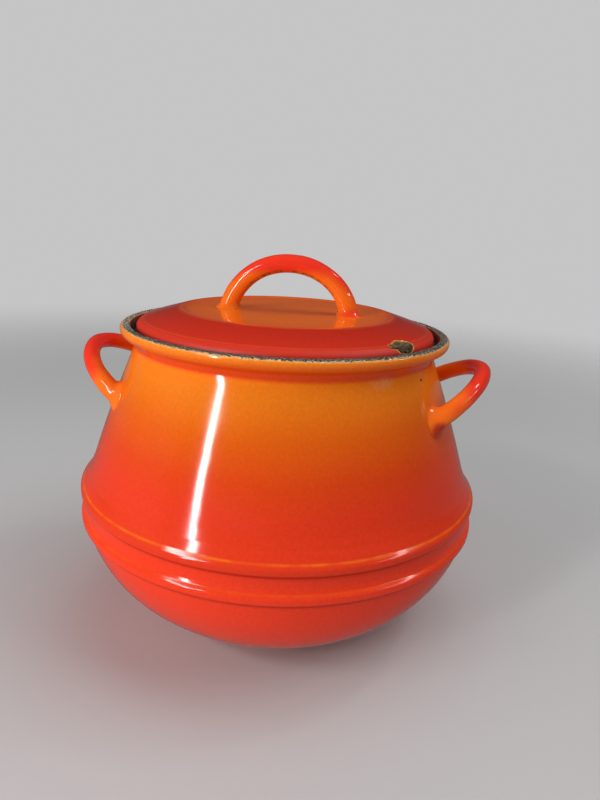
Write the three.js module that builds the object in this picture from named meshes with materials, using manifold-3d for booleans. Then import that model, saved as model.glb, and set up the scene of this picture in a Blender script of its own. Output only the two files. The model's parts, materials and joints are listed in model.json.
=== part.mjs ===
// A round-bellied, enamelled cast iron dutch oven with a drop-in lid.
//
// Millimetres, +Z up. The origin is the centre of the foot ring, on the surface the pot stands on. The two side
// loops point along +X and -X, and the lid's arch handle lies in the XZ plane.
//
// The real pot is two castings: the pot with its side loops, and the lid with its arch. Each loop and arch is kept
// here as a mesh of its own, cut to the wall that it grows out of with a hairline gap.

import * as THREE from 'three';
import { mergeVertices } from 'three/addons/utils/BufferGeometryUtils.js';
import Module from 'manifold-3d';

const wasm = await Module();
wasm.setup();

// ---- driving dimensions

const TURN_SEGMENTS = 56; // facets round the pot and the lid
const BAR_STEPS = 26; // facets along a handle
const JOIN_GAP = 0.3; // between a handle and the wall it grows out of, and between lid and seat
const WALL = 4.2; // thickness of the iron

const FOOT_RADIUS = 58.5;
const FOOT_INNER_RADIUS = 46;
const FOOT_RECESS = 0.9; // how far the middle of the base is lifted clear
const BOWL_RADIUS = 75.1; // radius of the bowl's side, seen in section
const BOWL_CENTRE = { r: 38.4, z: 75.2 };
const BOWL_START = 4.4; // height at which the foot runs into the bowl

const BEAD_LOW = { r: 111.3, z: 61.6, radius: 2.6 };
const BEAD_HIGH = { r: 111.3, z: 76.4, radius: 2.6 };
const WAIST_RADIUS = 111.5; // the plain band between the two beads

const NECK = { r: 83.4, z: 154.9 }; // crease where the shoulder meets the rim's flare
const SHOULDER_BULGE = 0.6; // how far the shoulder stands outside a straight cone
const RIM_RADIUS = 90.7;
const RIM_TOP = 166.3;
const RIM_INNER_RADIUS = 85.8;
const SEAT_RADIUS = 84;
const SEAT_HEIGHT = 161.2; // ledge that the lid rests on
const MOUTH_RADIUS = 77.2;

const LID_RADIUS = 82.2;
const LID_SHOULDER = { r: 73, z: 170.6 };
const DISC_RADIUS = 59.4;
const DISC_HEIGHT = 174.9; // crest of the raised edge round the lid's flat disc
const DISC_RECESS = 0.7;
const SKIRT_RADIUS = 75.8; // ring under the lid that centres it in the mouth
const SKIRT_BOTTOM = 155.5;

const LOOP_HALF_SPAN = 41; // half the distance between the two roots of a side loop
const LOOP_REACH = 33.8; // from the line of the roots to the outermost point of the bar's centre
const LOOP_TILT = THREE.MathUtils.degToRad(36); // the loop rises outwards by this angle
const LOOP_ROOT_HEIGHT = 129.8;
const LOOP_ROOT_RADIUS = 92.6; // of the shoulder at that height
const LOOP_BAR_RADIUS = 4.4;
const LOOP_OVERRUN = 0.3; // radians that each end runs on into the wall before it is cut
const LOOP_FULLNESS = 1.8; // 2 is a true ellipse; less straightens the legs and tightens the bend

const ARCH_HALF_SPAN = 35;
const ARCH_RISE = 32;
const ARCH_CENTRE_HEIGHT = 168.4;
const ARCH_BAR_HALF_HEIGHT = 5.05;
const ARCH_BAR_HALF_WIDTH = 5.7;
const ARCH_OVERRUN = 0.1;

// ---- outlines, as points (radius, height) in a half section

const point = (r, z) => new THREE.Vector2(r, z);

// Points along a circle's arc, both ends included. Angles are in degrees from straight outwards, up positive.
function arc(centre, radius, from, to, steps) {
  return Array.from({ length: steps + 1 }, (_, i) => {
    const angle = THREE.MathUtils.degToRad(from + ((to - from) * i) / steps);
    return point(centre.r + radius * Math.cos(angle), centre.z + radius * Math.sin(angle));
  });
}

// Angle at which a circle about centre is at the given height, on its outer side, in degrees.
function angleAtHeight(centre, radius, height) {
  return THREE.MathUtils.radToDeg(Math.asin((height - centre.z) / radius));
}

// A line from start to end that bulges to its right by the given amount, both ends included.
function bulgedLine(start, end, bulge, steps) {
  const across = end.clone().sub(start).normalize();
  const right = point(across.y, -across.x);
  return Array.from({ length: steps + 1 }, (_, i) => {
    const t = i / steps;
    return start.clone().lerp(end, t).addScaledVector(right, 4 * bulge * t * (1 - t));
  });
}

// Replaces a corner by an arc of the given radius that touches both of its sides.
function roundedCorner(before, corner, after, radius, steps = 2) {
  const back = before.clone().sub(corner).normalize();
  const ahead = after.clone().sub(corner).normalize();
  const half = back.angleTo(ahead) / 2;
  const start = corner.clone().addScaledVector(back, radius / Math.tan(half));
  const end = corner.clone().addScaledVector(ahead, radius / Math.tan(half));
  const centre = corner.clone().addScaledVector(back.clone().add(ahead).normalize(), radius / Math.sin(half));
  return Array.from({ length: steps + 1 }, (_, i) => {
    const chord = start.clone().lerp(end, i / steps).sub(centre).normalize();
    return centre.clone().addScaledVector(chord, radius);
  });
}

// An outline through corners [radius, height, rounding]; a corner with no rounding stays sharp.
function outline(corners) {
  return corners.flatMap(([r, z, rounding], i) => {
    const here = point(r, z);
    if (!rounding) return [here];
    return roundedCorner(point(...corners[i - 1]), here, point(...corners[i + 1]), rounding);
  });
}

// The outside of the pot, from the foot to the neck. grow moves it outwards, for cutting handles to it.
function potSide(grow = 0) {
  const bowlStart = angleAtHeight(BOWL_CENTRE, BOWL_RADIUS, BOWL_START);
  const bowlEnd = angleAtHeight(BOWL_CENTRE, BOWL_RADIUS, BEAD_LOW.z - BEAD_LOW.radius);
  const side = [
    point(FOOT_RADIUS, 0),
    point(FOOT_RADIUS + 1.6, BOWL_START - 1.6),
    ...arc(BOWL_CENTRE, BOWL_RADIUS, bowlStart, bowlEnd, 9),
    ...arc(BEAD_LOW, BEAD_LOW.radius, -62, 70, 4),
    point(WAIST_RADIUS, BEAD_LOW.z + BEAD_LOW.radius + 0.6),
    point(WAIST_RADIUS, BEAD_HIGH.z - BEAD_HIGH.radius - 0.4),
    ...arc(BEAD_HIGH, BEAD_HIGH.radius, -65, 66, 4),
    ...bulgedLine(point(BEAD_HIGH.r - 0.8, BEAD_HIGH.z + 3.6), point(NECK.r, NECK.z), SHOULDER_BULGE, 4),
  ];
  return side.map((p) => point(p.x + grow, p.y));
}

function potOutline() {
  const innerRadius = BOWL_RADIUS - WALL - 1;
  const floor = BOWL_CENTRE.z - innerRadius;
  return [
    point(0, FOOT_RECESS),
    point(FOOT_INNER_RADIUS - 1.2, FOOT_RECESS),
    point(FOOT_INNER_RADIUS, 0),
    ...potSide(),
    ...outline([
      [NECK.r + 0.3, NECK.z + 0.7],
      [85, 158.5, 2.6],
      [RIM_RADIUS, 161.1, 2.4],
      [RIM_RADIUS, RIM_TOP, 1.9],
      [RIM_INNER_RADIUS, RIM_TOP, 0.6],
      [SEAT_RADIUS, SEAT_HEIGHT, 0.9],
      [MOUTH_RADIUS, SEAT_HEIGHT, 0.8],
      [MOUTH_RADIUS - 0.3, SEAT_HEIGHT - 1.6],
      [105.2, 84, 30],
      [BOWL_CENTRE.r + innerRadius, BOWL_CENTRE.z],
    ]),
    ...arc(BOWL_CENTRE, innerRadius, -8, -90, 8),
    point(0, floor),
  ];
}

function lidOutline() {
  const top = DISC_HEIGHT - DISC_RECESS;
  const under = top - WALL;
  return outline([
    [0, under],
    [DISC_RADIUS - 6, under, 8],
    [SKIRT_RADIUS - 3.2, 166, 2],
    [SKIRT_RADIUS - 2.8, SKIRT_BOTTOM, 0.8],
    [SKIRT_RADIUS - 0.2, SKIRT_BOTTOM, 0.8],
    [SKIRT_RADIUS, SEAT_HEIGHT + JOIN_GAP + 0.4],
    [MOUTH_RADIUS + 0.6, SEAT_HEIGHT + JOIN_GAP],
    [LID_RADIUS, SEAT_HEIGHT + JOIN_GAP, 1.2],
    [LID_RADIUS, 168, 2.8],
    [LID_SHOULDER.r, LID_SHOULDER.z, 12],
    [DISC_RADIUS, DISC_HEIGHT, 1.6],
    [DISC_RADIUS - 3.4, top, 2],
    [0, top],
  ]);
}

// ---- solids

// A closed outline turned round the Z axis.
function turned(profile) {
  return new THREE.LatheGeometry(profile, TURN_SEGMENTS).rotateX(Math.PI / 2);
}

function toSolid(geometry) {
  const bare = geometry.clone();
  bare.deleteAttribute('normal');
  bare.deleteAttribute('uv');
  const merged = mergeVertices(bare, 1e-4);
  return new wasm.Manifold(
    new wasm.Mesh({
      numProp: 3,
      vertProperties: new Float32Array(merged.attributes.position.array),
      triVerts: new Uint32Array(merged.index.array),
    }),
  );
}

function toGeometry(solid) {
  const mesh = solid.getMesh();
  const geometry = new THREE.BufferGeometry();
  geometry.setAttribute('position', new THREE.BufferAttribute(mesh.vertProperties, 3));
  geometry.setIndex(new THREE.BufferAttribute(mesh.triVerts, 1));
  geometry.computeVertexNormals();
  return geometry;
}

// Raises a number's size to a power and keeps its sign.
const signedPower = (value, power) => Math.sign(value) * Math.abs(value) ** power;

// A half superellipse about centre, in the plane of the unit vectors across and out, run on past both ends.
class HandleCurve extends THREE.Curve {
  constructor(centre, across, out, halfSpan, rise, overrun, fullness = 2) {
    super();
    Object.assign(this, { centre, across, out, halfSpan, rise, overrun, power: 2 / fullness });
  }

  getPoint(t, target = new THREE.Vector3()) {
    const angle = -this.overrun + t * (Math.PI + 2 * this.overrun);
    return target
      .copy(this.centre)
      .addScaledVector(this.across, this.halfSpan * signedPower(Math.cos(angle), this.power))
      .addScaledVector(this.out, this.rise * signedPower(Math.sin(angle), this.power));
  }
}

// A bar of elliptical section, swept along a curve.
function bar(curve, halfX, halfY) {
  const section = new THREE.Shape().absellipse(0, 0, halfX, halfY, 0, Math.PI * 2);
  return new THREE.ExtrudeGeometry(section, {
    steps: BAR_STEPS,
    extrudePath: curve,
    curveSegments: 7,
    bevelEnabled: false,
  });
}

// A side loop on the +X side: a tilted bow whose ends are cut to the shoulder.
function sideLoop() {
  const rootDistance = Math.sqrt(LOOP_ROOT_RADIUS ** 2 - LOOP_HALF_SPAN ** 2);
  const curve = new HandleCurve(
    new THREE.Vector3(rootDistance, 0, LOOP_ROOT_HEIGHT),
    new THREE.Vector3(0, 1, 0),
    new THREE.Vector3(Math.cos(LOOP_TILT), 0, Math.sin(LOOP_TILT)),
    LOOP_HALF_SPAN,
    LOOP_REACH,
    LOOP_OVERRUN,
    LOOP_FULLNESS,
  );
  const side = potSide(JOIN_GAP);
  const potEnvelope = turned([point(0, 0), ...side, point(0, NECK.z)]);
  const rod = bar(curve, LOOP_BAR_RADIUS, LOOP_BAR_RADIUS);
  return toGeometry(toSolid(rod).subtract(toSolid(potEnvelope)));
}

// The lid's arch, with its ends cut level with the disc that it stands on.
function lidArch() {
  const curve = new HandleCurve(
    new THREE.Vector3(0, 0, ARCH_CENTRE_HEIGHT),
    new THREE.Vector3(1, 0, 0),
    new THREE.Vector3(0, 0, 1),
    ARCH_HALF_SPAN,
    ARCH_RISE,
    ARCH_OVERRUN,
  );
  const foot = DISC_HEIGHT - DISC_RECESS + JOIN_GAP;
  const below = new THREE.BoxGeometry(2 * LID_RADIUS, 2 * LID_RADIUS, 40).translate(0, 0, foot - 20);
  const rod = bar(curve, ARCH_BAR_HALF_HEIGHT, ARCH_BAR_HALF_WIDTH);
  return toGeometry(toSolid(rod).subtract(toSolid(below)));
}

// ---- the pot

function part(name, geometry, colour, roughness) {
  const mesh = new THREE.Mesh(
    geometry,
    new THREE.MeshStandardMaterial({ color: colour, roughness, metalness: 0 }),
  );
  mesh.name = name;
  return mesh;
}

const FLAME_ORANGE = 0xe2641a;
const FLAME_RED = 0xd93a22;
const LID_RED = 0xc92c1e;
const ENAMEL_ROUGHNESS = 0.22;

const pot = new THREE.Group();
pot.add(part('pot_body', turned(potOutline()), FLAME_ORANGE, ENAMEL_ROUGHNESS));

const loop = sideLoop();
const rightLoop = part('side_loop_right', loop, FLAME_RED, ENAMEL_ROUGHNESS);
const leftLoop = part('side_loop_left', loop, FLAME_RED, ENAMEL_ROUGHNESS);
leftLoop.rotation.z = Math.PI;
pot.add(rightLoop, leftLoop);

const lid = new THREE.Group();
lid.add(part('lid_body', turned(lidOutline()), LID_RED, ENAMEL_ROUGHNESS));
lid.add(part('lid_arch', lidArch(), FLAME_RED, ENAMEL_ROUGHNESS));

const dutchOven = new THREE.Group();
dutchOven.add(pot, lid);

export default dutchOven;
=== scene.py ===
# Enamelled cast iron dutch oven: two castings, the pot with its side loops and the lid with its arch.
# Lengths in the dictionaries are millimetres, and are turned into metres where a mesh or node is made.
import json
import math

import bmesh
import bpy
from mathutils import Matrix, Vector, noise

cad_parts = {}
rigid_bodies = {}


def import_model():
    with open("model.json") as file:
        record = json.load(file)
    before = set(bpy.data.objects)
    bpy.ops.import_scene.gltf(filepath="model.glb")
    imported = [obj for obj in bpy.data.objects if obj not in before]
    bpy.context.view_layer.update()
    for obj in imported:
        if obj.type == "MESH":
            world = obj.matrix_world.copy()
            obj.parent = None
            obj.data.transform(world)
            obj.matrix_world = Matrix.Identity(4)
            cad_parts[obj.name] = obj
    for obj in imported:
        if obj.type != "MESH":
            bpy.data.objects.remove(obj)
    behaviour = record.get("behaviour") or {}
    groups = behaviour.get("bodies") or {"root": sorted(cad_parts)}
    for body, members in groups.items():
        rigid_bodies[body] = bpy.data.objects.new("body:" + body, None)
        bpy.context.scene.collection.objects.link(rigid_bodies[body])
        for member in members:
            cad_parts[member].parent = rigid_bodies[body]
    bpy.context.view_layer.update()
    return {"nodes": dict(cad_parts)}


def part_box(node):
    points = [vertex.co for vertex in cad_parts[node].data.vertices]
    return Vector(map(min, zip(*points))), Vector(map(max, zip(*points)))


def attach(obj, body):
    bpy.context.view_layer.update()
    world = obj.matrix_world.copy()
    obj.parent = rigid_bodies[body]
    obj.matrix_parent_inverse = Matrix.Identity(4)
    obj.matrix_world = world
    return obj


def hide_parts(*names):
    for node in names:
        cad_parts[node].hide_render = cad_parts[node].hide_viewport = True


mm = 0.001
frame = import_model()
print("frame loaded:", sorted(frame["nodes"]))
noise.seed_set(11)  # noise_vector starts from the clock unless it is given a seed


def boxInMm(node):
    low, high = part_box(node)
    return low / mm, high / mm


# the camera, the floor and the lights

view = {
    "distance": 352.4,  # from the pot's axis, level
    "height": 225.7,
    "azimuth": 7.0,  # degrees that the camera stands round to the right of straight in front
    "heading": -5.36,  # degrees to the right of straight ahead
    "pitch": 16.35,
    "roll": 3.16,
    "lens": 28.18,
    "sensor": 36.0,
}


def makeCamera():
    azimuth = math.radians(view["azimuth"])
    heading = math.radians(view["heading"])
    pitch = math.radians(view["pitch"])
    roll = math.radians(view["roll"])
    level = math.cos(pitch)
    ahead = Vector((math.sin(heading) * level, math.cos(heading) * level, -math.sin(pitch)))
    right = Vector((math.cos(heading), -math.sin(heading), 0))
    up = right.cross(ahead)
    tiltedRight = right * math.cos(roll) + up * math.sin(roll)
    tiltedUp = up * math.cos(roll) - right * math.sin(roll)
    data = bpy.data.cameras.new("camera")
    data.lens = view["lens"]
    data.sensor_width = view["sensor"]
    data.clip_start = 0.01
    camera = bpy.data.objects.new("camera", data)
    turn = Matrix((tiltedRight, tiltedUp, -ahead)).transposed()
    spot = Vector((math.sin(azimuth), -math.cos(azimuth), 0)) * view["distance"] * mm
    spot.z = view["height"] * mm
    camera.matrix_world = Matrix.Translation(spot) @ turn.to_4x4()
    bpy.context.scene.collection.objects.link(camera)
    bpy.context.scene.camera = camera


# azimuth and elevation are where the middle of the light is seen from the pot, in degrees. Size and
# distance are metres, power is watts, and glossy says if the light shows in reflections
studio = {
    "window": {"azimuth": -127, "elevation": 16, "distance": 1.15, "size": (0.075, 0.47), "power": 5.0,
               "glossy": True},
    "highWindow": {"azimuth": -133, "elevation": 35, "distance": 1.2, "size": (0.42, 0.09), "power": 2.8,
                   "glossy": True},
    "sideWindow": {"azimuth": -8, "elevation": 29, "distance": 1.2, "size": (0.70, 0.03), "power": 1.15,
                   "glossy": True},
    "lamp": {"azimuth": 22, "elevation": 52, "distance": 1.2, "size": (0.14, 0.14), "power": 0.9,
             "glossy": True},
    "frontFill": {"azimuth": -112, "elevation": 1, "distance": 1.6, "size": (1.2, 0.45), "power": 6.5,
                  "glossy": False},
    "leftFill": {"azimuth": -165, "elevation": 12, "distance": 1.6, "size": (1.0, 0.8), "power": 9.8,
                 "glossy": False},
    "rightFill": {"azimuth": -5, "elevation": 50, "distance": 1.6, "size": (1.0, 1.0), "power": 9.6,
                  "glossy": False},
    "overhead": {"azimuth": 60, "elevation": 75, "distance": 1.8, "size": (1.5, 1.5), "power": 11,
                 "glossy": False},
}
backdrop = {
    "floor": 0.46,
    "seen": 0.56,  # brightness of the surroundings behind the floor
    "lighting": 0.12,  # brightness with which they light the pot
    "reflectedAbove": 0.045,  # brightness at which the glaze mirrors them over the horizon
    "reflectedBelow": 0.14,  # and under it
    "clear": 0.45,  # metres from the pot at which the floor starts to fade into the surroundings
    "gone": 1.3,
}


def makeLights():
    middle = Vector((0, 0, 0.1))
    for name, light in studio.items():
        azimuth = math.radians(light["azimuth"])
        elevation = math.radians(light["elevation"])
        away = Vector((math.cos(azimuth), math.sin(azimuth), 0)) * math.cos(elevation)
        away.z = math.sin(elevation)
        data = bpy.data.lights.new(name, "AREA")
        data.shape = "RECTANGLE"
        data.size, data.size_y = light["size"]
        data.energy = light["power"]
        lamp = bpy.data.objects.new(name, data)
        lamp.location = middle + away * light["distance"]
        lamp.rotation_euler = away.to_track_quat("Z", "Y").to_euler()
        lamp.visible_glossy = light["glossy"]
        bpy.context.scene.collection.objects.link(lamp)
    bpy.context.scene.view_settings.view_transform = "Standard"


def makeSurroundings():
    # plain pale surroundings that the glaze mirrors only faintly
    world = bpy.data.worlds.new("studio")
    world.use_nodes = True
    tree = world.node_tree
    rays = addNode(tree, "ShaderNodeLightPath").outputs
    strength = mixValue(tree, rays["Is Camera Ray"], backdrop["lighting"], backdrop["seen"])
    direction = addNode(tree, "ShaderNodeTexCoord").outputs["Generated"]
    upwards = addNode(tree, "ShaderNodeSeparateXYZ", {0: direction}).outputs["Z"]
    mirrored = stretch(tree, upwards, -0.05, 0.12, backdrop["reflectedBelow"], backdrop["reflectedAbove"])
    strength = mixValue(tree, rays["Is Glossy Ray"], strength, mirrored)
    background = tree.nodes["Background"]
    background.inputs["Color"].default_value = (1, 1, 1, 1)
    tree.links.new(strength, background.inputs["Strength"])
    bpy.context.scene.world = world


# small helpers for node trees


def addNode(tree, kind, inputs=None, **settings):
    node = tree.nodes.new(kind)
    for key, value in settings.items():
        setattr(node, key, value)
    for key, value in (inputs or {}).items():
        socket = node.inputs[key]
        if isinstance(value, bpy.types.NodeSocket):
            tree.links.new(value, socket)
        else:
            socket.default_value = value
    return node


def calc(tree, operation, first, second=0.0):
    return addNode(tree, "ShaderNodeMath", {0: first, 1: second}, operation=operation).outputs[0]


def vectorCalc(tree, operation, first, second=None):
    inputs = {0: first} if second is None else {0: first, 1: second}
    return addNode(tree, "ShaderNodeVectorMath", inputs, operation=operation)


def mixColour(tree, amount, first, second, blend="MIX"):
    inputs = {0: amount, 6: first, 7: second}
    return addNode(tree, "ShaderNodeMix", inputs, data_type="RGBA", blend_type=blend).outputs[2]


def mixValue(tree, amount, first, second):
    return addNode(tree, "ShaderNodeMix", {0: amount, 2: first, 3: second}).outputs[0]


def stretch(tree, value, low, high, newLow=0.0, newHigh=1.0, smooth=False):
    inputs = {0: value, 1: low, 2: high, 3: newLow, 4: newHigh}
    kind = "SMOOTHSTEP" if smooth else "LINEAR"
    return addNode(tree, "ShaderNodeMapRange", inputs, interpolation_type=kind).outputs[0]


def grain(tree, position, size, detail=2.0, roughness=0.5):
    # cloudy noise whose lumps are about size mm across
    inputs = {"Vector": position, "Scale": 1 / (size * mm), "Detail": detail, "Roughness": roughness}
    return addNode(tree, "ShaderNodeTexNoise", inputs).outputs[0]


def centred(tree, value, amount):
    # noise runs from 0 to 1 about 0.5, and this makes it run about 0
    return calc(tree, "MULTIPLY", calc(tree, "SUBTRACT", value, 0.5), amount)


def sRgb(red, green, blue):
    channels = [c / 255 for c in (red, green, blue)]
    linear = [c / 12.92 if c <= 0.04045 else ((c + 0.055) / 1.055) ** 2.4 for c in channels]
    return (*linear, 1.0)


def ramp(tree, value, stops):
    node = addNode(tree, "ShaderNodeValToRGB", {0: value})
    elements = node.color_ramp.elements
    while len(elements) < len(stops):
        elements.new(0.5)
    for element, (place, colour) in zip(elements, stops):
        element.position = place
        element.color = colour
    return node.outputs[0]


def newMaterial(name):
    material = bpy.data.materials.new(name)
    material.use_nodes = True
    tree = material.node_tree
    shader = tree.nodes["Principled BSDF"]
    position = addNode(tree, "ShaderNodeTexCoord").outputs["Object"]
    return material, tree, shader, position


def attribute(tree, name):
    return addNode(tree, "ShaderNodeAttribute", attribute_name=name).outputs["Fac"]


def spotDistance(tree, position, mark):
    # 1 at the edge of a spot, less inside it and more outside. A mark has the spot's middle and half sizes,
    # the size of the lumps in its edge and how ragged they make it, and its turn about the vertical
    middle = tuple(v * mm for v in mark["middle"])
    away = vectorCalc(tree, "SUBTRACT", position, middle).outputs[0]
    turned = rotated(tree, away, -mark.get("turn", 0.0), "Z_AXIS")
    sizes = tuple(1 / (v * mm) for v in mark["sizes"])
    scaled = vectorCalc(tree, "MULTIPLY", turned, sizes).outputs[0]
    distance = vectorCalc(tree, "LENGTH", scaled).outputs["Value"]
    ragged = centred(tree, grain(tree, position, mark["lump"], 3.0, 0.6), mark["ragged"])
    return calc(tree, "ADD", distance, ragged)


def painted(tree, position, colour, mark):
    # colour with a soft-edged spot of the mark's own colour on it
    smooth = mark.get("smooth", True)
    inside = stretch(tree, spotDistance(tree, position, mark), *mark["fade"], mark["strength"], 0.0, smooth)
    return mixColour(tree, inside, colour, mark["colour"])


def mottled(tree, position, colour, depth):
    # colour made a little lighter and darker in fine specks
    specks = grain(tree, position, speckle["mottleSize"], 3.0, 0.65)
    shade = stretch(tree, specks, 0.3, 0.7, 1 - depth, 1 + depth)
    grey = addNode(tree, "ShaderNodeCombineColor", {0: shade, 1: shade, 2: shade}).outputs[0]
    return mixColour(tree, 1.0, colour, grey, "MULTIPLY")


def sprayGrain(tree, position, amount):
    # the fine grain at the edge of a sprayed colour
    return centred(tree, grain(tree, position, speckle["spraySize"], 2.0, 0.7), amount)


def withLining(tree, position, colour, shades, lining):
    # the dark satin enamel of the inside, wherever lining is 1
    clouds = grain(tree, position, speckle["liningSize"], 3.0, 0.7)
    return mixColour(tree, lining, colour, mixColour(tree, stretch(tree, clouds, 0.35, 0.7), *shades))


def bands(tree, distance, stops):
    # a ramp whose stops are given in mm
    low, high = stops[0][0], stops[-1][0]
    along = stretch(tree, distance, low * mm, high * mm)
    return ramp(tree, along, [((place - low) / (high - low), colour) for place, colour in stops])


# the finishes

enamelColours = {
    "orange": sRgb(222, 115, 22),
    "amber": sRgb(211, 88, 14),
    "red": sRgb(213, 54, 26),
    # painted shade for the creases under the beads, over the deeper red of enamel pooled there
    "creaseShadeRed": sRgb(172, 28, 14),
    # the crest colour: enamel running thin over an edge, and a painted highlight along the beads' tops
    "thinAndSheen": sRgb(232, 108, 22),  # where the enamel runs thin over an edge
    "ground": sRgb(214, 146, 66),  # the ground coat that a chip lays open
    "dullOrange": sRgb(234, 105, 22),
}
glaze = {
    "roughness": 0.10,
    "specular": 0.42,
    "peelSize": 2.6,
    "peelHeight": 0.010,
    "fineSize": 0.5,
    "fineHeight": 0.0030,
    "pimpleSpacing": 5.0,
    "pimpleEdge": (0.03, 0.07),
    "pimpleHeight": 0.10,
    "groupSize": 28,
    "groupEdge": (0.54, 0.62),
}
speckle = {
    "spraySize": 1.1,
    "mottleSize": 1.4,
    "liningSize": 1.2,
    "liningRoughness": 0.30,
    "ironRoughness": 0.6,
}


def glazeBump(tree, position, shader, extra=None):
    # the orange peel of fired enamel: a soft swell with a fine grain on it
    swell = grain(tree, position, glaze["peelSize"], 1.5)
    fine = grain(tree, position, glaze["fineSize"], 1.0)
    height = calc(tree, "ADD", calc(tree, "MULTIPLY", swell, glaze["peelHeight"]),
                  calc(tree, "MULTIPLY", fine, glaze["fineHeight"]))
    # stray pimples, in loose groups
    spacing = glaze["pimpleSpacing"] * mm
    cells = addNode(tree, "ShaderNodeTexVoronoi", {"Vector": position, "Scale": 1 / spacing})
    pimples = stretch(tree, cells.outputs["Distance"], *glaze["pimpleEdge"], glaze["pimpleHeight"], 0.0, True)
    groups = stretch(tree, grain(tree, position, glaze["groupSize"], 1.0), *glaze["groupEdge"])
    height = calc(tree, "ADD", height, calc(tree, "MULTIPLY", pimples, groups))
    if extra is not None:
        height = calc(tree, "ADD", height, extra)
    bump = addNode(tree, "ShaderNodeBump", {"Strength": 1.0, "Distance": mm, "Height": height})
    shader.inputs["Specular IOR Level"].default_value = glaze["specular"]
    tree.links.new(bump.outputs[0], shader.inputs["Normal"])


potColours = {
    "stops": [  # height in mm, colour
        (14, sRgb(244, 66, 36)),
        (50, sRgb(236, 60, 31)),
        (70, sRgb(226, 57, 29)),
        (78, enamelColours["red"]),
        (97, enamelColours["red"]),
        (111, sRgb(208, 63, 18)),
        (130, enamelColours["amber"]),
        (147, enamelColours["orange"]),
        (153.6, sRgb(228, 116, 22)),
        # 155 to 160 mm: the darker red band under the rim's flange, partly pooled enamel and partly painted
        #                shade under the flange. 162 to 166 mm: the flange's face lightens towards its top,
        #                partly its orange and partly a painted highlight
        (155.2, sRgb(220, 66, 18)),
        (159.6, sRgb(224, 76, 18)),
        (162.4, sRgb(222, 98, 20)),
        (164.6, sRgb(230, 120, 28)),
        (166.2, sRgb(232, 130, 38)),
    ],
    "drift": 9.0,  # how far the colours wander up and down
    "driftSize": 70,
    "spray": 7.0,
    "steadyFrom": (140, 150),  # heights between which the wandering dies out, towards the rim
    "mottle": 0.07,
    "wornSide": -58,  # azimuth in degrees at which the rim is worn most
    "worn": (-0.36, -0.02),  # how far the edge of the enamel is shifted on the least and the most worn side
    "ragged": 0.3,
    "paleEdge": sRgb(228, 166, 88),
    "paleFrom": (0.24, 0.42),
    "bareFrom": (0.46, 0.53),
    "pitDepth": 0.25,
    "lining": (sRgb(40, 33, 34), sRgb(78, 62, 60)),
    "iron": [(0.30, sRgb(18, 15, 12)), (0.50, sRgb(42, 34, 26)), (0.57, sRgb(88, 75, 58)),
             (0.63, sRgb(238, 231, 214))],
}


def wornEnamel(tree, position):
    # 0 on whole enamel and 1 on the bare top of the rim, with a ragged edge between them. The enamel has gone
    # furthest towards the front right of the rim
    worn, ragged = potColours["worn"], potColours["ragged"]
    ironGrain = grain(tree, position, 1.3, 4.0, 0.75)
    facing = math.radians(potColours["wornSide"])
    towards = (math.cos(facing), math.sin(facing), 0.0)
    side = vectorCalc(tree, "DOT_PRODUCT", position, towards).outputs["Value"]
    shift = calc(tree, "ADD", stretch(tree, side, -0.02, 0.08, *worn),
                 stretch(tree, ironGrain, 0.3, 0.7, -ragged, ragged))
    bare = attribute(tree, "bare")
    shift = calc(tree, "MULTIPLY", shift, stretch(tree, bare, 0.0, 0.12))
    return calc(tree, "ADD", bare, shift), ironGrain


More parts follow.
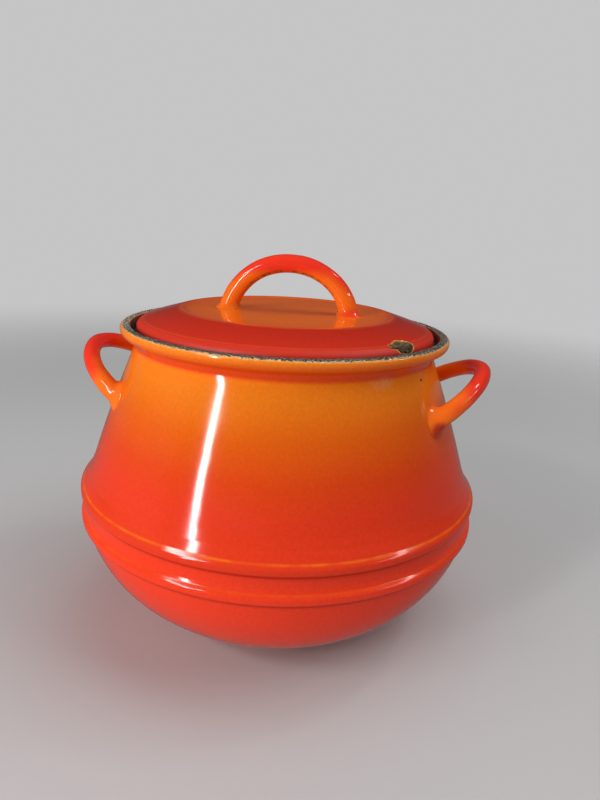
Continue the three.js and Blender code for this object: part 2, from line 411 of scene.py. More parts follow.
def potFinish():
    material, tree, shader, position = newMaterial("potEnamel")
    height = addNode(tree, "ShaderNodeSeparateXYZ", {0: position}).outputs["Z"]
    drift = centred(tree, grain(tree, position, potColours["driftSize"], 1.0), potColours["drift"] * mm)
    shift = calc(tree, "ADD", drift, sprayGrain(tree, position, potColours["spray"] * mm))
    steadyFrom = [z * mm for z in potColours["steadyFrom"]]
    shift = calc(tree, "MULTIPLY", shift, stretch(tree, height, *steadyFrom, 1.0, 0.0))
    colour = bands(tree, calc(tree, "ADD", height, shift), potColours["stops"])
    colour = mottled(tree, position, colour, potColours["mottle"])
    # thin enamel with a painted highlight along the crests, broken up along its length, and painted shade
    # over pooled deep red enamel in the creases under the beads
    breakUp = stretch(tree, grain(tree, position, 9, 2.0), 0.35, 0.6, 0.35, 1.0)
    crest = calc(tree, "MULTIPLY", attribute(tree, "crest"), breakUp)
    # painted highlight, with thin enamel, along the beads' crests
    colour = mixColour(tree, crest, colour, enamelColours["thinAndSheen"])
    # painted shade, over pooled enamel, in the creases under the beads
    colour = mixColour(tree, attribute(tree, "creaseShade"), colour, enamelColours["creaseShadeRed"])
    # marks: a dark speck and a scuff from use, and a dark red pool under the right loop's root that is partly
    # pooled enamel and partly painted shade under the root
    colour = painted(tree, position, colour, potMarks["speck"])
    scuff = potMarks["scuff"]
    scratches = stretch(tree, grain(tree, position, 0.6, 3.0, 0.8), 0.47, 0.62)
    inside = stretch(tree, spotDistance(tree, position, scuff), *scuff["fade"], scuff["strength"], 0.0)
    colour = mixColour(tree, calc(tree, "MULTIPLY", inside, scratches), colour, scuff["colour"])
    # painted shade with pooled enamel under the right loop's root
    colour = painted(tree, position, colour, potMarks["rootPoolShade"])

    # dark lining inside, bare iron on top of the rim
    lining = attribute(tree, "lining")
    bareEdge, ironGrain = wornEnamel(tree, position)
    bare = stretch(tree, bareEdge, *potColours["bareFrom"])
    colour = mixColour(tree, stretch(tree, bareEdge, *potColours["paleFrom"]), colour, potColours["paleEdge"])
    colour = withLining(tree, position, colour, potColours["lining"], lining)
    # pale crumbs of ground coat are left along the broken edge
    crumbs = stretch(tree, bareEdge, 0.5, 0.72, 0.09, 0.0)
    iron = calc(tree, "ADD", grain(tree, position, 0.8, 3.0, 0.8), crumbs)
    colour = mixColour(tree, bare, colour, ramp(tree, iron, potColours["iron"]))
    tree.links.new(colour, shader.inputs["Base Color"])
    patches = stretch(tree, grain(tree, position, 22, 2.0), 0.3, 0.7, 0.8, 1.25)
    gloss = calc(tree, "MULTIPLY", patches, glaze["roughness"])
    gloss = mixValue(tree, lining, gloss, speckle["liningRoughness"])
    gloss = mixValue(tree, bare, gloss, speckle["ironRoughness"])
    tree.links.new(gloss, shader.inputs["Roughness"])
    pits = calc(tree, "MULTIPLY", calc(tree, "MULTIPLY", bare, ironGrain), potColours["pitDepth"])
    glazeBump(tree, position, shader, pits)
    return material


barColours = {
    "blend": 0.18,  # half the width of the change from the bend's colour to the root's
    "spray": 0.12,
    "drift": 0.35,
    "driftSize": 16,
    "wornLine": sRgb(120, 70, 34),
    "wornSide": (-0.56, -0.72),  # how far round to the inner side the worn line starts
    "wornBend": (0.62, 0.4),  # how far along the bar it reaches
}


def barFinish(name, size):
    # red over the bend of a cast bar, running to orange at its roots and on its inner side
    material, tree, shader, position = newMaterial(name)
    along = calc(tree, "SUBTRACT", attribute(tree, "along"), 0.5)
    fromMiddle = calc(tree, "MULTIPLY", calc(tree, "ABSOLUTE", along), 2.0)
    outer = attribute(tree, "outer")
    measure = calc(tree, "SUBTRACT", fromMiddle, calc(tree, "MULTIPLY", outer, size["sideShift"]))
    measure = calc(tree, "ADD", measure, sprayGrain(tree, position, barColours["spray"]))
    clouds = grain(tree, position, barColours["driftSize"], 1.0)
    measure = calc(tree, "ADD", measure, centred(tree, clouds, barColours["drift"]))
    low, high = size["turnsAt"] - barColours["blend"], size["turnsAt"] + barColours["blend"]
    colour = mixColour(tree, stretch(tree, measure, low, high, smooth=True), size["bend"], size["root"])
    # worn brown line along the inner side of the bend
    innerSide = stretch(tree, outer, *barColours["wornSide"])
    onBend = stretch(tree, fromMiddle, *barColours["wornBend"], 0, size["wear"])
    wear = calc(tree, "MULTIPLY", innerSide, onBend)
    ragged = stretch(tree, grain(tree, position, 2.2, 3.0, 0.7), 0.42, 0.58)
    colour = mixColour(tree, calc(tree, "MULTIPLY", wear, ragged), colour, barColours["wornLine"])
    # spots at the roots; the loops' dark red one under the right root is pooled enamel with painted shade
    for mark in size["pools"]:
        colour = painted(tree, position, colour, mark)
    tree.links.new(colour, shader.inputs["Base Color"])
    shader.inputs["Roughness"].default_value = glaze["roughness"]
    glazeBump(tree, position, shader)
    return material


lidColours = {
    "stops": [  # radius in mm, colour
        # the disc's orange runs out by 58.5 mm; the slope's reds are painted darker than the pot's red as
        # painted shade for the dim light on the lid's top, darkest at 61.5 mm just outside the disc where the
        # slope dips, and lighter outwards
        (40, enamelColours["dullOrange"]),
        (54, sRgb(228, 96, 22)),
        (58.5, sRgb(198, 64, 20)),
        (61.5, sRgb(176, 37, 18)),
        (70, sRgb(184, 40, 21)),
        (80, sRgb(192, 44, 25)),
    ],
    "drift": 3.0,
    "driftSize": 30,
    "spray": 3.0,
    "mottle": 0.06,
    # a painted pinkish highlight along the lid's shoulder at 78.6 mm, and lighter thin enamel at the disc's
    # edge
    "crest": sRgb(222, 90, 48),
    "crestSheenStrength": 0.6,
    "dullFrom": (79.2, 80.2),  # radii over which the edge goes dull, from being set down on it
    "dullRoughness": 0.5,
    "chipHalo": (1.10, 1.16),
    "chipEdge": (0.95, 1.01),
    "chipIron": [(0.35, sRgb(62, 50, 33)), (0.5, sRgb(106, 88, 58)), (0.66, sRgb(138, 120, 84))],
    "chipPits": 0.5,
    "lining": (sRgb(38, 33, 33), sRgb(70, 60, 57)),
    "seatIron": sRgb(70, 62, 54),
}


def lidFinish():
    material, tree, shader, position = newMaterial("lidEnamel")
    flat = vectorCalc(tree, "MULTIPLY", position, (1.0, 1.0, 0.0)).outputs[0]
    radius = vectorCalc(tree, "LENGTH", flat).outputs["Value"]
    drift = centred(tree, grain(tree, position, lidColours["driftSize"], 1.5), lidColours["drift"] * mm)
    shift = calc(tree, "ADD", drift, sprayGrain(tree, position, lidColours["spray"] * mm))
    colour = bands(tree, calc(tree, "ADD", radius, shift), lidColours["stops"])
    # orange pooled round the two roots of the arch
    for side in (-1, 1):
        colour = painted(tree, position, colour, {
            "middle": (arch["offset"] + side * arch["halfSpan"], 0, lid["discTop"]), "sizes": (12, 11, 9),
            "ragged": 0.3, "lump": 6.0, "fade": (0.5, 1.3), "strength": 0.3, "colour": arch["root"]})
    # painted highlight along the shoulder, and thin enamel at the disc's edge
    crest = calc(tree, "MULTIPLY", attribute(tree, "crest"), lidColours["crestSheenStrength"])
    colour = mixColour(tree, crest, colour, lidColours["crest"])
    colour = mottled(tree, position, colour, lidColours["mottle"])
    # the chip: bare iron inside a thin halo of ground coat
    chipAway = calc(tree, "MINIMUM", *[spotDistance(tree, position, mark) for mark in lidChip])
    halo = stretch(tree, chipAway, *lidColours["chipHalo"], 1.0, 0.0)
    bareChip = stretch(tree, chipAway, *lidColours["chipEdge"], 1.0, 0.0)
    colour = mixColour(tree, halo, colour, enamelColours["ground"])
    chipIron = ramp(tree, grain(tree, position, 1.4, 4.0, 0.7), lidColours["chipIron"])
    colour = mixColour(tree, bareChip, colour, chipIron)
    # dark lining underneath, with bare iron where the lid sits on its ledge
    lining = attribute(tree, "lining")
    colour = withLining(tree, position, colour, lidColours["lining"], lining)
    ragged = stretch(tree, grain(tree, position, 1.3, 4.0, 0.75), 0.3, 0.7, -0.25, 0.25)
    seat = stretch(tree, calc(tree, "ADD", attribute(tree, "bare"), ragged), 0.46, 0.54)
    colour = mixColour(tree, seat, colour, lidColours["seatIron"])
    tree.links.new(colour, shader.inputs["Base Color"])
    dullFrom = [r * mm for r in lidColours["dullFrom"]]
    gloss = stretch(tree, radius, *dullFrom, glaze["roughness"], lidColours["dullRoughness"])
    gloss = mixValue(tree, lining, gloss, speckle["liningRoughness"])
    gloss = mixValue(tree, calc(tree, "MAXIMUM", bareChip, seat), gloss, speckle["ironRoughness"])
    tree.links.new(gloss, shader.inputs["Roughness"])
    chipGrain = calc(tree, "MULTIPLY", bareChip, grain(tree, position, 1.0, 4.0, 0.7))
    glazeBump(tree, position, shader, calc(tree, "MULTIPLY", chipGrain, lidColours["chipPits"]))
    return material


# outlines run from the bottom of the outside round to the inside, as (radius, height, {mark: strength})


def arcPoints(middle, radius, start, end, steps):
    turn = [math.radians(start + (end - start) * i / steps) for i in range(steps + 1)]
    return [(middle[0] + radius * math.cos(a), middle[1] + radius * math.sin(a)) for a in turn]


def roundedPath(corners, steps=6):
    # corners are (radius, height) or (radius, height, rounding)
    path = []
    for i, corner in enumerate(corners):
        here = Vector(corner[:2])
        if len(corner) < 3:
            path.append(tuple(here))
            continue
        back = (Vector(corners[i - 1][:2]) - here).normalized()
        ahead = (Vector(corners[i + 1][:2]) - here).normalized()
        half = back.angle(ahead) / 2
        start = here + back * corner[2] / math.tan(half)
        end = here + ahead * corner[2] / math.tan(half)
        middle = here + (back + ahead).normalized() * corner[2] / math.sin(half)
        for k in range(steps + 1):
            chord = (start.lerp(end, k / steps) - middle).normalized()
            path.append(tuple(middle + chord * corner[2]))
    return path


def evened(path, longest):
    # adds points so that no stretch is longer than longest
    result = [path[0]]
    for before, after in zip(path, path[1:]):
        gap = math.dist(before, after)
        pieces = max(1, math.ceil(gap / longest))
        for k in range(1, pieces + 1):
            t = k / pieces
            result.append((before[0] + (after[0] - before[0]) * t, before[1] + (after[1] - before[1]) * t))
    return result


def softened(path, rounds=2):
    # pulls each point towards its neighbours, which rounds what the corners left
    for _ in range(rounds):
        inner = [((a[0] + 2 * b[0] + c[0]) / 4, (a[1] + 2 * b[1] + c[1]) / 4) for a, b, c in
                 zip(path, path[1:], path[2:])]
        path = [path[0], *inner, path[-1]]
    return path


def near(value, middle, width):
    return math.exp(-(((value - middle) / width) ** 2))


# Geometry Nodes: a casting turned from its outline, and a bar cast along an arc


def newTree(name, sockets):
    tree = bpy.data.node_groups.new(name, "GeometryNodeTree")
    tree.interface.new_socket("Geometry", in_out="INPUT", socket_type="NodeSocketGeometry")
    for socketName, kind in sockets:
        tree.interface.new_socket(socketName, in_out="INPUT", socket_type=f"NodeSocket{kind}")
    tree.interface.new_socket("Geometry", in_out="OUTPUT", socket_type="NodeSocketGeometry")
    return tree, addNode(tree, "NodeGroupInput").outputs, addNode(tree, "NodeGroupOutput")


def rotated(tree, vector, angle, axis):
    inputs = {"Vector": vector, "Angle": angle}
    return addNode(tree, "ShaderNodeVectorRotate", inputs, rotation_type=axis).outputs[0]


def finishTree(tree, geometry, inputs, output):
    smooth = addNode(tree, "GeometryNodeSetShadeSmooth", {0: geometry})
    real = addNode(tree, "GeometryNodeRealizeInstances", {0: smooth.outputs[0]}).outputs[0]
    coated = addNode(tree, "GeometryNodeSetMaterial", {"Geometry": real, "Material": inputs["Material"]})
    tree.links.new(coated.outputs[0], output.inputs[0])


def turnedTree(marks):
    tree, inputs, output = newTree("turnedCasting", [
        ("Segments", "Int"), ("Waviness", "Float"), ("Wave Size", "Float"), ("Material", "Material")])
    outline = inputs["Geometry"]
    count = addNode(tree, "GeometryNodeAttributeDomainSize", {0: outline}).outputs["Point Count"]
    columns = calc(tree, "ADD", inputs["Segments"], 1.0)
    grid = addNode(tree, "GeometryNodeMeshGrid", {"Vertices X": columns, "Vertices Y": count}).outputs[0]
    index = addNode(tree, "GeometryNodeInputIndex").outputs[0]
    column = calc(tree, "FLOOR", calc(tree, "DIVIDE", calc(tree, "ADD", index, 0.5), count))
    row = calc(tree, "SUBTRACT", index, calc(tree, "MULTIPLY", column, count))

    def fromOutline(field, kind):
        given = {"Geometry": outline, "Value": field, "Index": row}
        return addNode(tree, "GeometryNodeSampleIndex", given, data_type=kind).outputs["Value"]

    place = fromOutline(addNode(tree, "GeometryNodeInputPosition").outputs[0], "FLOAT_VECTOR")
    angle = calc(tree, "DIVIDE", calc(tree, "MULTIPLY", column, math.tau), inputs["Segments"])
    turned = rotated(tree, place, angle, "Z_AXIS")
    shape = addNode(tree, "GeometryNodeSetPosition", {"Geometry": grid, "Position": turned}).outputs[0]
    for mark in marks:
        field = addNode(tree, "GeometryNodeInputNamedAttribute", {"Name": mark}, data_type="FLOAT")
        shape = addNode(tree, "GeometryNodeStoreNamedAttribute", {
            "Geometry": shape, "Name": mark, "Value": fromOutline(field.outputs[0], "FLOAT")},
            data_type="FLOAT", domain="POINT").outputs[0]
    close = {"Geometry": shape, "Distance": 0.004 * mm}
    merged = addNode(tree, "GeometryNodeMergeByDistance", close).outputs[0]
    # the slow waviness of a sand casting under its enamel, pushed straight out from the axis
    position = addNode(tree, "GeometryNodeInputPosition").outputs[0]
    density = calc(tree, "DIVIDE", 1.0, inputs["Wave Size"])
    cloud = addNode(tree, "ShaderNodeTexNoise", {"Vector": position, "Scale": density, "Detail": 1.0})
    push = centred(tree, cloud.outputs[0], inputs["Waviness"])
    level = vectorCalc(tree, "MULTIPLY", position, (1.0, 1.0, 0.0)).outputs[0]
    away = vectorCalc(tree, "NORMALIZE", level).outputs[0]
    pushed = {0: away, "Scale": push}
    offset = addNode(tree, "ShaderNodeVectorMath", pushed, operation="SCALE").outputs[0]
    cast = addNode(tree, "GeometryNodeSetPosition", {"Geometry": merged, "Offset": offset}).outputs[0]
    finishTree(tree, cast, inputs, output)
    return tree


def barTree():
    tree, inputs, output = newTree("castBar", [
        ("Half Span", "Float"), ("Reach", "Float"), ("Overrun", "Float"), ("Bar Radius", "Float"),
        ("Flatness", "Float"), ("Steps", "Int"), ("Sides", "Int"), ("Tilt", "Float"), ("Heading", "Float"),
        ("Root", "Vector"), ("Fullness", "Float"), ("Material", "Material")])
    start = calc(tree, "MULTIPLY", inputs["Overrun"], -1.0)
    sweep = calc(tree, "ADD", calc(tree, "MULTIPLY", inputs["Overrun"], 2.0), math.pi)
    arcInputs = {"Resolution": inputs["Steps"], "Radius": 1.0, "Start Angle": start, "Sweep Angle": sweep}
    arc = addNode(tree, "GeometryNodeCurveArc", arcInputs, mode="RADIUS")
    spline = addNode(tree, "GeometryNodeSplineParameter").outputs["Factor"]
    marked = addNode(tree, "GeometryNodeStoreNamedAttribute", {
        "Geometry": arc.outputs["Curve"], "Name": "along", "Value": spline},
        data_type="FLOAT", domain="POINT").outputs[0]
    unit = addNode(tree, "ShaderNodeSeparateXYZ", {0: addNode(tree, "GeometryNodeInputPosition").outputs[0]})
    power = calc(tree, "DIVIDE", 2.0, inputs["Fullness"])

    def bowed(value, size):
        raised = calc(tree, "POWER", calc(tree, "ABSOLUTE", value), power)
        return calc(tree, "MULTIPLY", calc(tree, "MULTIPLY", raised, calc(tree, "SIGN", value)), size)

    across = bowed(unit.outputs["X"], inputs["Half Span"])
    outwards = bowed(unit.outputs["Y"], inputs["Reach"])
    level = addNode(tree, "ShaderNodeCombineXYZ", {0: outwards, 1: across, 2: 0.0}).outputs[0]
    path = addNode(tree, "GeometryNodeSetPosition", {"Geometry": marked, "Position": level}).outputs[0]
    ring = addNode(tree, "GeometryNodeCurvePrimitiveCircle", {
        "Resolution": inputs["Sides"], "Radius": inputs["Bar Radius"]}, mode="RADIUS").outputs["Curve"]
    squeeze = addNode(tree, "ShaderNodeCombineXYZ", {0: 1.0, 1: inputs["Flatness"], 2: 1.0}).outputs[0]
    oval = addNode(tree, "GeometryNodeTransform", {"Geometry": ring, "Scale": squeeze}).outputs[0]
    bar = addNode(tree, "GeometryNodeCurveToMesh", {
        "Curve": path, "Profile Curve": oval, "Fill Caps": True}).outputs[0]
    position = addNode(tree, "GeometryNodeInputPosition").outputs[0]
    tilted = rotated(tree, position, calc(tree, "MULTIPLY", inputs["Tilt"], -1.0), "Y_AXIS")
    raised = vectorCalc(tree, "ADD", tilted, inputs["Root"]).outputs[0]
    headed = rotated(tree, raised, inputs["Heading"], "Z_AXIS")
    placed = addNode(tree, "GeometryNodeSetPosition", {"Geometry": bar, "Position": headed}).outputs[0]
    finishTree(tree, placed, inputs, output)
    return tree


def fromNodes(name, tree, settings, base=None):
    # runs a tree on base and keeps the result as a plain mesh
    holder = bpy.data.objects.new(name + "Holder", base or bpy.data.meshes.new(name + "Base"))
    bpy.context.scene.collection.objects.link(holder)
    modifier = holder.modifiers.new("shape", "NODES")
    modifier.node_group = tree
    items = tree.interface.items_tree
    sockets = {item.name: item.identifier for item in items if item.in_out == "INPUT"}
    for key, value in settings.items():
        modifier[sockets[key]] = value
    graph = bpy.context.evaluated_depsgraph_get()
    shaped = holder.evaluated_get(graph)
    mesh = bpy.data.meshes.new_from_object(shaped, preserve_all_data_layers=True, depsgraph=graph)
    bpy.data.objects.remove(holder)
    mesh.name = name
    piece = bpy.data.objects.new(name, mesh)
    bpy.context.scene.collection.objects.link(piece)
    return piece


def faceOutwards(mesh):
    shape = bmesh.new()
    shape.from_mesh(mesh)
    bmesh.ops.remove_doubles(shape, verts=shape.verts, dist=0.002 * mm)
    bmesh.ops.recalc_face_normals(shape, faces=shape.faces)
    shape.to_mesh(mesh)
    shape.free()


def outlineMesh(name, points, marks):
    mesh = bpy.data.meshes.new(name)
    places = [(r * mm, 0, z * mm) for r, z, _ in points]
    mesh.from_pydata(places, [(i, i + 1) for i in range(len(points) - 1)], [])
    for mark in marks:
        layer = mesh.attributes.new(mark, "FLOAT", "POINT")
        layer.data.foreach_set("value", [given.get(mark, 0.0) for _, _, given in points])
    return mesh


def turnedPiece(name, points, marks, segments, waviness, waveSize, material):
    base = outlineMesh(name + "Outline", points, marks)
    settings = {
        "Segments": segments, "Waviness": waviness * mm, "Wave Size": waveSize * mm, "Material": material}
    piece = fromNodes(name, turnedTree(marks), settings, base)
    faceOutwards(piece.data)
    return piece


# the pot

potHigh = boxInMm("pot_body")[1]
lidLow, lidHigh = boxInMm("lid_body")

pot = {
    "belly": potHigh.x,
    "rimTop": potHigh.z,
    "rim": 90.8,
    "rimInside": 85.8,
    "rimRounding": 1.9,
    "shoulderTop": (83.2, 154.9),
    "shoulderBottom": (106.8, 90.0),
    "bulge": 0.6,  # how far the shoulder stands outside a straight cone
    "bowlMiddle": (38.4, 75.2),
    "bowlRadius": 75.1,
    "foot": (58.5, 46.0),  # outer and inner radius of the ring that it stands on
    "wall": 4.2,
    "seat": 161.2,
    "mouth": 77.2,
    "segments": 190,
}
potMarks = {
    "speck": {"middle": (73.9, -41.4, 150.2), "sizes": (0.9, 0.9, 1.1), "ragged": 0.5, "lump": 1.0,
              "fade": (0.8, 1.0), "strength": 1.0, "smooth": False, "colour": sRgb(70, 32, 14)},
    "scuff": {"middle": (54.0, -63.6, 152.8), "sizes": (7.5, 7.5, 3.2), "ragged": 0.9, "lump": 4.0,
              "fade": (0.3, 1.2), "strength": 0.6, "colour": sRgb(214, 170, 140)},
    # dark red under the right loop's root: pooled enamel and painted shade under the root
    "rootPoolShade": {"middle": (84.4, -42.5, 125.6), "sizes": (7.5, 8.0, 5.8), "ragged": 0.4, "lump": 5.0,
             "fade": (0.55, 1.2), "strength": 0.9, "colour": sRgb(178, 36, 15)},
}
potMarkNames = ["lining", "bare", "crest", "creaseShade"]


def shoulderRadius(z):
    # the outside of the pot between the upper bead and the neck
    top, bottom = pot["shoulderTop"], pot["shoulderBottom"]
    t = (z - bottom[1]) / (top[1] - bottom[1])
    return bottom[0] + (top[0] - bottom[0]) * t + pot["bulge"] * 4 * t * (1 - t)


def rimBareness(r, z):
    # 1 on the flat top of the rim, falling to 0 over its outer rounding
    middle = (pot["rim"] - pot["rimRounding"], pot["rimTop"] - pot["rimRounding"])
    if z <= middle[1] or r < pot["rimInside"]:
        return 0.0
    return 1.0 - math.atan2(max(0.0, r - middle[0]), z - middle[1]) / (math.pi / 2)


def potOutline():
    belly = pot["belly"]
    middle, radius = pot["bowlMiddle"], pot["bowlRadius"]
    outerFoot, innerFoot = pot["foot"]
    base = roundedPath([(0, 0.9), (innerFoot - 1.4, 0.9, 0.8), (innerFoot, 0.0, 0.5), (outerFoot, 0.0, 1.2),
                        (outerFoot + 1.4, 3.0, 2.0), (61.9, 4.2)])
    bowl = arcPoints(middle, radius, -71.0, -12.9, 60)
    beads = roundedPath([
        bowl[-1], (111.7, 58.7, 0.9), (belly - 0.1, 60.5, 1.3), (belly, 63.7, 1.2), (112.2, 65.5, 1.2),
        (111.5, 67.2, 2.0), (111.3, 72.9, 2.2), (belly - 0.1, 75.3, 1.4), (belly, 78.2, 1.7),
        (111.8, 80.7, 1.6), (109.0, 85.2, 7.0), (shoulderRadius(90), 90)])
    shoulder = [(shoulderRadius(z), z) for z in range(92, 153, 3)]
    rim = roundedPath([
        (shoulderRadius(153), 153), (83.4, 155.2, 1.0), (84.7, 158.2, 2.6),
        (pot["rim"], 161.7, 3.6), (pot["rim"], pot["rimTop"], pot["rimRounding"]),
        (pot["rimInside"], pot["rimTop"], 0.6), (84.0, pot["seat"], 0.9),
        (pot["mouth"], pot["seat"], 0.8), (pot["mouth"] - 0.3, pot["seat"] - 2)])
    innerRadius = radius - pot["wall"] - 1
    inside = roundedPath([(pot["mouth"] - 0.3, pot["seat"] - 2), (105.2, 84, 30),
                          (middle[0] + innerRadius * 0.995, middle[1] - 6)], 12)
    bottom = arcPoints(middle, innerRadius, -8, -90, 40)
    lower = softened(evened(base + bowl[1:-1], 1.4), 1)
    outside = lower + softened(evened(beads, 0.7), 1) + evened(shoulder, 1.6)
    inner = evened(inside[1:] + bottom + [(0, bottom[-1][1])], 2.2)
    path = outside + softened(evened(rim[1:], 0.5), 1) + inner[1:]
    points = []
    insideFrom = len(outside) + 30
    for i, (r, z) in enumerate(path):
        innerSide = i > insideFrom and (r < 85.7 or z < 150)
        footRing = z < 0.35 and innerFoot - 1 < r < outerFoot + 1
        marks = {
            "lining": 1.0 if innerSide else 0.0,
            "bare": 1.0 if footRing else rimBareness(r, z),
            # crest: thin enamel with a painted highlight along the tops of the beads; creaseShade: painted
            # shade, over pooled enamel, in the creases under the beads
            "crest": 0.0 if innerSide else 0.9 * near(z, 80.1, 0.42) + 0.3 * near(z, 65.0, 0.5),
            "creaseShade": 0.0 if innerSide else min(1.0, 0.9 * near(z, 73.9, 1.2) + 0.9 * near(z, 59.2, 1.0)),
        }
        points.append((r, z, marks))
    return points


def makePot():
    piece = turnedPiece("potBody", potOutline(), potMarkNames, pot["segments"], 0.35, 45, potFinish())
    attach(piece, "pot")
    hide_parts("pot_body")
    print("pot body:", len(piece.data.vertices), "points")


# the cast bars

loop = {
    "halfSpan": 41.0,
    "reach": 33.8,
    "fullness": 1.8,  # 2 is a true ellipse
    "tilt": math.radians(35.4),
    "rootHeight": 129.0,
    "rootRadius": 92.9,
    "bar": 4.4,
    "overrun": 0.24,
    "flare": 4.0,
    "buried": 2.2,  # how deep its ends go into the wall
    "swell": 0.9,  # how much thicker the bar grows towards its roots
    "bend": sRgb(225, 51, 31),
    "root": sRgb(238, 107, 26),
    "turnsAt": 0.42,  # where the bend's colour gives way to the root's, 0 at the middle and 1 at the ends
    "sideShift": 0.20,
    "wear": 0.0,
    # the pot's dark red pool under the right root, pooled enamel and painted shade, carried onto the loop
    "pools": [potMarks["rootPoolShade"]],
}
arch = {
    "offset": 0.9,  # the arch stands this far to the right of the lid's middle
    "halfSpan": 34.6,
    "rise": 32.0,
    "middleHeight": 168.4,
    "bar": 5.05,
    "width": 5.05,
    "overrun": 0.17,
    "flare": 3.0,
    "buried": 2.2,
    "swell": 0.3,
    "bend": sRgb(224, 50, 30),
    "root": sRgb(230, 104, 24),
    "turnsAt": 0.36,
    "sideShift": 0.30,
    "wear": 1.0,  # how much of the inner side of the bend is worn to brown
    "pools": [{"middle": (36.0, -3.0, 174.0), "sizes": (7.5, 8.0, 4.6), "ragged": 0.4, "lump": 5.0,
               "fade": (0.55, 1.2), "strength": 0.9, "colour": sRgb(222, 58, 30)}],
}
lid = {
    "radius": lidHigh.x,
    "discRadius": 59.0,
    "discTop": 174.2,
    "edgeTop": lidHigh.z,
    "skirt": 75.8,
    "skirtBottom": lidLow.z,
    "segments": 250,
}
lidChip = [  # the main break, and a tail that runs on from it along the edge
    {"middle": (63.6, -48.4, 168.3), "sizes": (6.8, 4.8, 3.8), "turn": math.radians(53), "ragged": 0.7,
     "lump": 3.2},
    {"middle": (59.4, -52.4, 168.8), "sizes": (4.6, 2.3, 2.4), "turn": math.radians(48), "ragged": 0.7,
     "lump": 2.6},
]


def flareRoots(mesh, middles, wallOf, size):
    # thickens the bar towards its roots and spreads it where it meets the wall. wallOf gives a point's
    # distance off the wall and the wall's normal
    flare, swellReach = size["flare"], 18.0
    for vertex, middle in zip(mesh.vertices, middles):
        point = vertex.co / mm
        distance, normal = wallOf(point)
        if distance > swellReach:
            continue
        if distance < -size["buried"]:
            # the end lies flat inside the wall and doesn't come out of its other side
            vertex.co -= normal * (distance + size["buried"]) * mm
        distance = max(distance, 0.0)
        away = (point - middle).normalized()
        swell = size["swell"] * (1.0 - distance / swellReach) ** 1.5
        spread = away - normal * away.dot(normal)
        depth = max(0.0, 1.0 - distance / flare)
        vertex.co += (away * swell + spread.normalized() * flare * 0.8 * depth**2) * mm


def roughen(mesh, amount, size):
    # the slight unevenness of a hand-finished casting
    for vertex in mesh.vertices:
        vertex.co += noise.noise_vector(vertex.co / (size * mm)) * amount * mm


def bowPoint(bow, angle):
    # a point on the middle line of a bar, angle running from one root to the other
    power = 2 / bow["fullness"]
    cosine, sine = math.cos(angle), math.sin(angle)
    along = math.copysign(abs(cosine) ** power, cosine) * bow["halfSpan"]
    outwards = math.copysign(abs(sine) ** power, sine) * bow["reach"]
    return bow["origin"] + bow["across"] * along + bow["out"] * outwards


def outward(bow, angle):
    # straight away from the inside of the bend
    step = bowPoint(bow, angle + 0.01) - bowPoint(bow, angle - 0.01)
    return (bow["across"] * step.dot(bow["out"]) - bow["out"] * step.dot(bow["across"])).normalized()


def nearestAngle(point, bow):
    local = point - bow["origin"]
    along = local.dot(bow["across"]) / bow["halfSpan"]
    outwards = local.dot(bow["out"]) / bow["reach"]
    root = bow["fullness"] / 2
    sine, cosine = (math.copysign(abs(part) ** root, part) for part in (outwards, along))
    guess = math.atan2(sine, cosine)
    for step in (0.08, 0.02):
        guess = min((guess + k * step for k in range(-3, 4)), key=lambda a: (bowPoint(bow, a) - point).length)
    return guess


def makeBar(name, size, bow, settings, wallOf, material):
    settings = {
        "Half Span": bow["halfSpan"] * mm, "Reach": bow["reach"] * mm, "Fullness": bow["fullness"],
        "Bar Radius": size["bar"] * mm, "Overrun": size["overrun"], "Steps": 150, "Sides": 40,
        "Material": material, **settings}
    piece = fromNodes(name, barTree(), settings)
    mesh = piece.data
    faceOutwards(mesh)

    angles = [nearestAngle(vertex.co / mm, bow) for vertex in mesh.vertices]
    middles = [bowPoint(bow, angle) for angle in angles]
    sides = [(vertex.co / mm - middle).normalized().dot(outward(bow, angle))
             for vertex, middle, angle in zip(mesh.vertices, middles, angles)]
    mesh.attributes.new("outer", "FLOAT", "POINT").data.foreach_set("value", sides)
    flareRoots(mesh, middles, wallOf, size)
    roughen(mesh, 0.2, 14)
    mesh.materials.clear()
    mesh.materials.append(material)
    return piece


def potWall(point):
    radius = math.hypot(point.x, point.y)
    slope = math.atan2(shoulderRadius(110) - shoulderRadius(150), 40)
    level = Vector((point.x, point.y, 0)).normalized()
    normal = level * math.cos(slope) + Vector((0, 0, 1)) * math.sin(slope)
    return (radius - shoulderRadius(point.z)) * math.cos(slope), normal


def makeLoops():
    material = barFinish("loopEnamel", loop)
    rootDistance = math.sqrt(loop["rootRadius"] ** 2 - loop["halfSpan"] ** 2)
    for name, node, side in (("sideLoopRight", "side_loop_right", 1), ("sideLoopLeft", "side_loop_left", -1)):
        bow = {
            "halfSpan": loop["halfSpan"],
            "reach": loop["reach"],
            "fullness": loop["fullness"],
            "origin": Vector((side * rootDistance, 0, loop["rootHeight"])),
            "across": Vector((0, side, 0)),
            "out": Vector((side * math.cos(loop["tilt"]), 0, math.sin(loop["tilt"]))),
        }
        settings = {
            "Flatness": 1.0, "Tilt": loop["tilt"], "Heading": 0.0 if side > 0 else math.pi,
            "Root": (rootDistance * mm, 0.0, loop["rootHeight"] * mm)}
        piece = makeBar(name, loop, bow, settings, potWall, material)
        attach(piece, "pot")
        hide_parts(node)
        print(name, "made")


def discWall(point):
    return point.z - lid["discTop"], Vector((0, 0, 1))


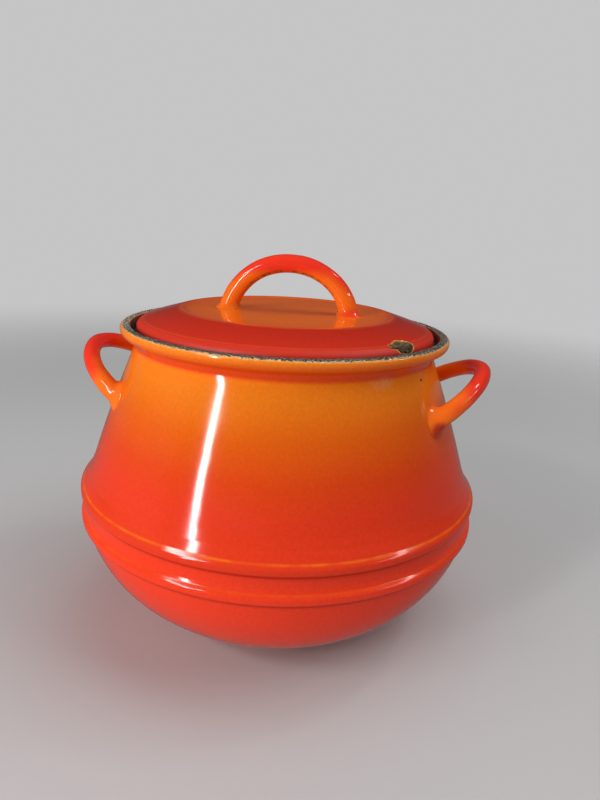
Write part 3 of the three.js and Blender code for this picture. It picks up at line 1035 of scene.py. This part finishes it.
def makeArch():
    bow = {
        "halfSpan": arch["halfSpan"],
        "reach": arch["rise"],
        "fullness": 2.0,
        "origin": Vector((arch["offset"], 0, arch["middleHeight"])),
        "across": Vector((1, 0, 0)),
        "out": Vector((0, 0, 1)),
    }
    settings = {
        "Flatness": arch["width"] / arch["bar"], "Tilt": math.pi / 2, "Heading": math.pi / 2,
        "Root": (0.0, -arch["offset"] * mm, arch["middleHeight"] * mm)}
    piece = makeBar("lidArch", arch, bow, settings, discWall, barFinish("archEnamel", arch))
    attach(piece, "lid")
    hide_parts("lid_arch")
    print("lid arch made")


# the lid


def lidOutline():
    edge, top = lid["edgeTop"], lid["discTop"]
    disc = lid["discRadius"]
    under = top - pot["wall"]
    seat = pot["seat"] + 0.3
    skirt, skirtBottom, rim = lid["skirt"], lid["skirtBottom"], lid["radius"]
    below = roundedPath([
        (0, under), (disc - 6, under, 8), (skirt - 3.2, 166, 2), (skirt - 2.8, skirtBottom, 0.9),
        (skirt - 0.2, skirtBottom, 0.9), (skirt, seat + 0.5, 0.4), (skirt + 1.6, seat, 0.3),
        (rim - 0.2, seat, 1.0), (rim, seat + 1.6)])
    above = roundedPath([
        below[-1], (rim + 0.05, 166.6, 3.4), (79.4, 168.7, 5.0), (72.5, 171.0, 16.0),
        (disc + 1.4, edge - 0.15, 2.4), (disc - 1.2, edge + 0.05, 2.0), (disc - 4.0, top, 3.0), (0, top)], 8)
    underside = evened(below, 1.2)
    path = softened(underside, 1) + softened(evened(above[1:], 0.8), 1)
    points = []
    for i, (r, z) in enumerate(path):
        inner = i < len(below) and z < 166
        lining = 1.0 if i < len(underside) - 4 else 0.0
        discEdge = near(r, disc - 0.4, 1.3) * (1.0 if z > top else 0.0)
        marks = {
            "lining": lining,
            "bare": 1.0 if inner and r > skirt + 1 and z < seat + 0.2 else 0.0,
            # crest: lighter thin enamel at the disc's edge, and a painted highlight along the shoulder at
            # 78.6 mm
            "crest": 0.0 if lining else min(1.0, discEdge + 0.55 * near(r, 78.6, 0.5)),
        }
        points.append((r, z, marks))
    return points


def chipDistance(point):
    # 1 at the edge of the chip, less inside it, and far more for a point well clear of it
    if (point - Vector(lidChip[0]["middle"])).length > 20:
        return 100.0
    distances = []
    for mark in lidChip:
        local = Matrix.Rotation(-mark["turn"], 3, "Z") @ (point - Vector(mark["middle"]))
        distances.append(Vector(local[k] / mark["sizes"][k] for k in range(3)).length)
    return min(distances)


def dentChip(mesh):
    # sinks the iron where the enamel has broken off the lid's edge, on a finer mesh round the chip
    shape = bmesh.new()
    shape.from_mesh(mesh)
    close = {face for face in shape.faces if chipDistance(face.calc_center_median() / mm) < 1.7}
    edges = {edge for face in close for edge in face.edges}
    bmesh.ops.subdivide_edges(shape, edges=list(edges), cuts=4, use_grid_fill=True)
    bmesh.ops.triangulate(shape, faces=[face for face in shape.faces if len(face.verts) > 4])
    shape.to_mesh(mesh)
    shape.free()
    for vertex in mesh.vertices:
        distance = chipDistance(vertex.co / mm)
        if distance < 1.3:
            depth = min(1.0, max(0.0, (1.08 - distance) / 0.16))
            rough = 0.75 + 0.6 * noise.noise(vertex.co / (1.8 * mm))
            vertex.co -= vertex.normal * 0.5 * depth * rough * mm


def makeLid():
    marks = ["lining", "bare", "crest"]
    piece = turnedPiece("lidBody", lidOutline(), marks, lid["segments"], 0.25, 40, lidFinish())
    dentChip(piece.data)
    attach(piece, "lid")
    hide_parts("lid_body")
    print("lid body:", len(piece.data.vertices), "points")


def makeFloor():
    reach = 4.0
    data = bpy.data.meshes.new("floor")
    corners = [(-reach, -reach, 0), (reach, -reach, 0), (reach, reach, 0), (-reach, reach, 0)]
    data.from_pydata(corners, [], [(0, 1, 2, 3)])
    floor = bpy.data.objects.new("floor", data)
    floor.location.z = -0.0002
    floor.visible_glossy = False
    bpy.context.scene.collection.objects.link(floor)
    material, tree, shader, position = newMaterial("paleFloor")
    shader.inputs["Base Color"].default_value = (backdrop["floor"], backdrop["floor"], backdrop["floor"], 1)
    shader.inputs["Roughness"].default_value = 0.8
    away = vectorCalc(tree, "LENGTH", position).outputs["Value"]
    shown = stretch(tree, away, backdrop["clear"], backdrop["gone"], 1.0, 0.0, True)
    tree.links.new(shown, shader.inputs["Alpha"])
    data.materials.append(material)


makeCamera()
makeLights()
makeSurroundings()
makeFloor()
print("camera, lights and floor ready")
makePot()
makeLoops()
makeLid()
makeArch()
